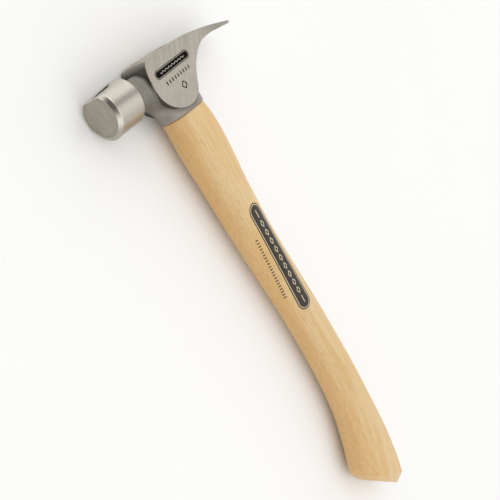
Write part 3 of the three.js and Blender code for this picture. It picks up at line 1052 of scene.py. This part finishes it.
def wood_colours(s, rings_centre, ring_width, palette, late_depth):
    """Straight-grained wood: growth rings about a far pith, fine pores, and soft figure.

    Gives the colour, and the noises of the fibres and the pores.
    """
    pale, warm, dark = palette
    wander = s.noise(s.coordinates((0.006, 0.05, 0.05)))
    ripple = s.noise(s.coordinates((0.02, 0.25, 0.25)), 1.0, 4, 0.55)
    _, y, z = s.split(s.coordinates(offset=rings_centre, turn=(0, 1.1, GRAIN_TURN)))
    radius = s.length(y, z)
    radius = s.plus(radius, s.times(wander, 6))
    radius = s.plus(radius, s.times(ripple, 1.6))
    ring = s.math("FRACT", s.math("DIVIDE", radius, ring_width))
    late = s.times(s.ramp(ring, 0.35, 0.86), s.ramp(ring, 1.0, 0.9))
    strength = s.ramp(s.noise(s.coordinates((0.004, 0.12, 0.12)), detail=2), 0.3, 0.7, 0.25, 1.0)
    late = s.times(late, strength)
    fibres = s.noise(s.coordinates((0.035, 2.2, 2.2), turn=(0, 0, GRAIN_TURN)), 1.0, 5, 0.65)
    pores = s.noise(s.coordinates((0.11, 3.4, 3.4), turn=(0, 0, GRAIN_TURN)), detail=2)
    pores = s.times(s.ramp(pores, 0.60, 0.70), s.ramp(late, 0.0, 0.6, 0.35, 1.0))
    figure = s.noise(s.coordinates((0.014, 0.16, 0.16)))
    colour = s.mix(s.ramp(figure, 0.34, 0.68), pale, warm)
    colour = s.mix(s.times(late, late_depth), colour, dark)
    colour = s.mix(s.ramp(fibres, 0.35, 0.75, 0.0, 0.36), colour, dark)
    colour = s.mix(s.times(pores, 0.3), colour, tuple(0.55 * c for c in dark))
    return colour, fibres, pores


def bend_grain(s, x):
    """Moves the shader's place across the grain, further and further towards the butt."""
    beyond = s.larger(s.minus(x, BEND_START_X), 0)
    bend = s.node("ShaderNodeCombineXYZ")
    s.put(bend.inputs["Y"], s.times(s.times(beyond, beyond), GRAIN_BEND * MM))
    bent = s.node("ShaderNodeVectorMath", operation="ADD")
    s.put(bent.inputs[0], s.here)
    s.put(bent.inputs[1], bend.outputs[0])
    s.here = bent.outputs[0]


def handle_material():
    s = Shader("clear_lacquered_hickory")
    x, y, z = s.split(s.coordinates())
    bend_grain(s, x)
    cut = s.attribute("cut")
    side = s.attribute("side")
    late_depth = s.ramp(side, -0.95, -0.1, 0.1, 0.42)
    colour, fibres, pores = wood_colours(s, (0, 74, -46), 1.7, HICKORY, late_depth)

    # Heartwood along the face's side, darker and warmer partly as wood colour and partly as painted shade
    # on that side, freckled with short orange flecks, and a little at the back
    drift = s.noise(s.coordinates((0.012, 0.08, 0.08)))
    drift = s.plus(side, s.times(s.minus(drift, 0.5), 1.2))
    heart_and_shade = s.ramp(drift, -0.35, -0.95)
    back = s.ramp(s.minus(drift, s.ramp(x, 80, 130, 0.25, 0.6)), 0, 0.3)
    flecks = s.ramp(s.noise(s.coordinates((0.22, 1.7, 1.7), turn=(0, 0, -4)), detail=2), 0.55, 0.66)
    flecks = s.times(flecks, s.ramp(side, 0.4, -0.7, 0.08, 0.4))
    colour = s.mix(s.times(heart_and_shade, 0.55), colour, HEARTWOOD_AND_SHADE)
    colour = s.mix(s.times(back, 0.45), colour, BACK_WOOD)
    colour = s.mix(flecks, colour, FLECK)
    colour = s.mix(s.times(cut, 0.35), colour, CUT_WOOD)

    ink, light = handle_label(s, x, y, z)
    worn = s.ramp(fibres, 0.3, 0.75, 1.0, 0.93)
    colour = s.mix(s.times(ink, worn), colour, INK)
    colour = s.mix(s.times(light, 0.85), colour, LABEL_LINE)
    height = s.minus(s.times(fibres, 0.6), s.times(pores, 0.8))
    rough = s.ramp(fibres, 0.3, 0.7, 0.42, 0.52)
    return s.finish(
        Base_Color=colour, Roughness=rough, Normal=s.bump(height, 0.22, 0.08),
        Coat_Weight=0.12, Coat_Roughness=0.3, Specular_IOR_Level=0.35)


def wedge_wood_material():
    s = Shader("dark_wedge_wood")
    colour, fibres, pores = wood_colours(s, (0, -30, 22), 1.3, WEDGE_WOOD, 0.5)
    height = s.minus(fibres, pores)
    rough = s.ramp(fibres, 0.3, 0.7, 0.55, 0.72)
    return s.finish(Base_Color=colour, Roughness=rough, Normal=s.bump(height, 0.4, 0.12))


# Colours of the steels and the floor
WORN_STEEL = (0.16, 0.16, 0.17), (0.26, 0.26, 0.27)
DULL_STEEL = (0.24, 0.24, 0.245), (0.40, 0.40, 0.405)
STEEL_RUST = (0.16, 0.10, 0.06)
FLOOR = (0.95, 0.95, 0.945), (0.965, 0.965, 0.96)


def steel_material(name, steel, rust):
    """Plain steel with rolling lines, and dull patches with a little brown in them."""
    s = Shader(name)
    lines = s.noise(s.coordinates((2.2, 0.9, 4.5)), 1.0, 4, 0.6)
    patches = s.noise(s.coordinates(), 0.7, 4, 0.6)
    colour = s.mix(s.ramp(lines, 0.3, 0.7), *steel)
    colour = s.mix(s.ramp(patches, 0.52, 0.75, 0, rust), colour, STEEL_RUST)
    rough = s.ramp(patches, 0.3, 0.7, 0.34, 0.58)
    return s.finish(Base_Color=colour, Roughness=rough, Metallic=1.0, Normal=s.bump(lines, 0.35, 0.06))


def floor_material():
    s = Shader("pale_studio_floor")
    soft = s.noise(s.here, 3.0)
    colour = s.mix(s.ramp(soft, 0.3, 0.7), *FLOOR)
    return s.finish(Base_Color=colour, Roughness=0.85, Specular_IOR_Level=0.2)


# ---- the object

def add_piece(obj, material, node):
    """Gives a piece its material, hangs it on the root, and hides the frame's node that it stands for."""
    obj.data.materials.clear()
    obj.data.materials.append(material)
    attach(obj, "root")
    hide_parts(node)


add_piece(make_head(), head_material(), "hammer_head")
add_piece(make_magnet(), steel_material("worn_magnet", WORN_STEEL, 0.2), "nail_magnet")

handle = make_handle()
kerf = wedge_prism("kerf", WOOD_WEDGE, COLLAR_Y, False, WEDGE_GAP, 2)
boolean(handle, kerf, "DIFFERENCE")
cut_slots(handle)
add_piece(handle, handle_material(), "handle")

wood_wedge = wedge_prism("wooden_wedge", WOOD_WEDGE, COLLAR_Y, False)
boolean(wood_wedge, oval_plug("plug", TONGUE_GAP, TONGUE_TOP_X - 1, 15), "INTERSECT")
cut_slots(wood_wedge)
soften(wood_wedge, 0.12)
add_piece(wood_wedge, wedge_wood_material(), "wood_wedge")

wedge_steel = steel_material("dull_wedge_steel", DULL_STEEL, 0.55)
for node, wedge_y in STEEL_WEDGE_Y.items():
    steel_wedge = wedge_prism(node + "_bar", STEEL_WEDGE, wedge_y, True)
    soften(steel_wedge, 0.22, 3)
    add_piece(steel_wedge, wedge_steel, node)


# ---- floor, light, camera

def make_floor():
    """A wide pale floor that the hammer lies on."""
    reach = 2.0
    steps = 8
    at = np.linspace(-reach, reach, steps + 1)
    points = [(a, b, cad_low.z) for a in at for b in at]
    row = steps + 1
    faces = [(i * row + j, (i + 1) * row + j, (i + 1) * row + j + 1, i * row + j + 1)
             for i in range(steps) for j in range(steps)]
    mesh = bpy.data.meshes.new("floor")
    mesh.from_pydata(points, [], faces)
    mesh.materials.append(floor_material())
    floor = bpy.data.objects.new("floor", mesh)
    bpy.context.scene.collection.objects.link(floor)


def add_light(name, place, target, size, power):
    """A square lamp, size metres across, that faces the target."""
    light = bpy.data.lights.new(name, "AREA")
    light.shape = "SQUARE"
    light.size = size
    light.energy = power
    obj = bpy.data.objects.new(name, light)
    obj.location = place
    obj.rotation_euler = (Vector(target) - Vector(place)).to_track_quat("-Z", "Y").to_euler()
    bpy.context.scene.collection.objects.link(obj)


# The pale room's brightness, and the soft dark cards in it that give the metal its bands: the way
# to each, how wide it is in degrees, and its brightness against the room's
ROOM_LEVEL = 1.12
DARK_CARDS = [
    ((-0.20, 0.65, 0.73), 17, 0.3),
    ((-0.26, -0.94, 0.20), 44, 0.1),
    ((0.75, 0.65, 0.08), 34, 0.7),
]


def make_world():
    """An even pale room with the dark cards in it. The camera itself doesn't see the cards."""
    world = bpy.data.worlds.new("studio")
    world.use_nodes = True
    tree = world.node_tree
    background = tree.nodes["Background"]
    direction = tree.nodes.new("ShaderNodeTexCoord").outputs["Generated"]
    brightness = None
    for way, width, level in DARK_CARDS:
        facing = tree.nodes.new("ShaderNodeVectorMath")
        facing.operation = "DOT_PRODUCT"
        tree.links.new(direction, facing.inputs[0])
        facing.inputs[1].default_value = Vector(way).normalized()
        card = tree.nodes.new("ShaderNodeMapRange")
        tree.links.new(facing.outputs["Value"], card.inputs["Value"])
        set_range(card, math.cos(math.radians(width)), math.cos(math.radians(width / 4)), 1, level)
        dim = tree.nodes.new("ShaderNodeMath")
        dim.operation = "MULTIPLY"
        tree.links.new(card.outputs[0], dim.inputs[0])
        dim.inputs[1].default_value = ROOM_LEVEL
        if brightness:
            tree.links.new(brightness, dim.inputs[1])
        brightness = dim.outputs[0]
    seen = tree.nodes.new("ShaderNodeLightPath").outputs["Is Camera Ray"]
    choose = tree.nodes.new("ShaderNodeMix")
    tree.links.new(seen, choose.inputs[0])
    tree.links.new(brightness, choose.inputs[2])
    choose.inputs[3].default_value = ROOM_LEVEL
    background.inputs["Color"].default_value = (1.0, 0.995, 0.985, 1)
    tree.links.new(choose.outputs[0], background.inputs["Strength"])
    bpy.context.scene.world = world


def make_camera():
    """The camera looks down on the hammer from beyond the face, rolled so that the handle hangs."""
    place = Vector((-0.20042, -0.30425, 0.30005))
    aim = Vector((-0.0473, -0.021, 0.0145))
    roll = math.radians(79.2)
    back = (place - aim).normalized()
    level = Vector((0, 0, 1)).cross(back).normalized()
    upright = back.cross(level)
    right = level * math.cos(roll) + upright * math.sin(roll)
    up = back.cross(right)
    camera = bpy.data.cameras.new("camera")
    camera.sensor_width = 36
    camera.lens = 46.8
    camera.clip_start = 0.01
    obj = bpy.data.objects.new("camera", camera)
    axes = Matrix((right, up, back)).transposed().to_4x4()
    obj.matrix_world = Matrix.Translation(place) @ axes
    bpy.context.scene.collection.objects.link(obj)
    bpy.context.scene.camera = obj


make_floor()
make_world()
add_light("key", (-0.95, 0.69, 0.42), (-0.1, 0, 0), 0.7, 0.3)
make_camera()
bpy.context.scene.view_settings.view_transform = "Standard"
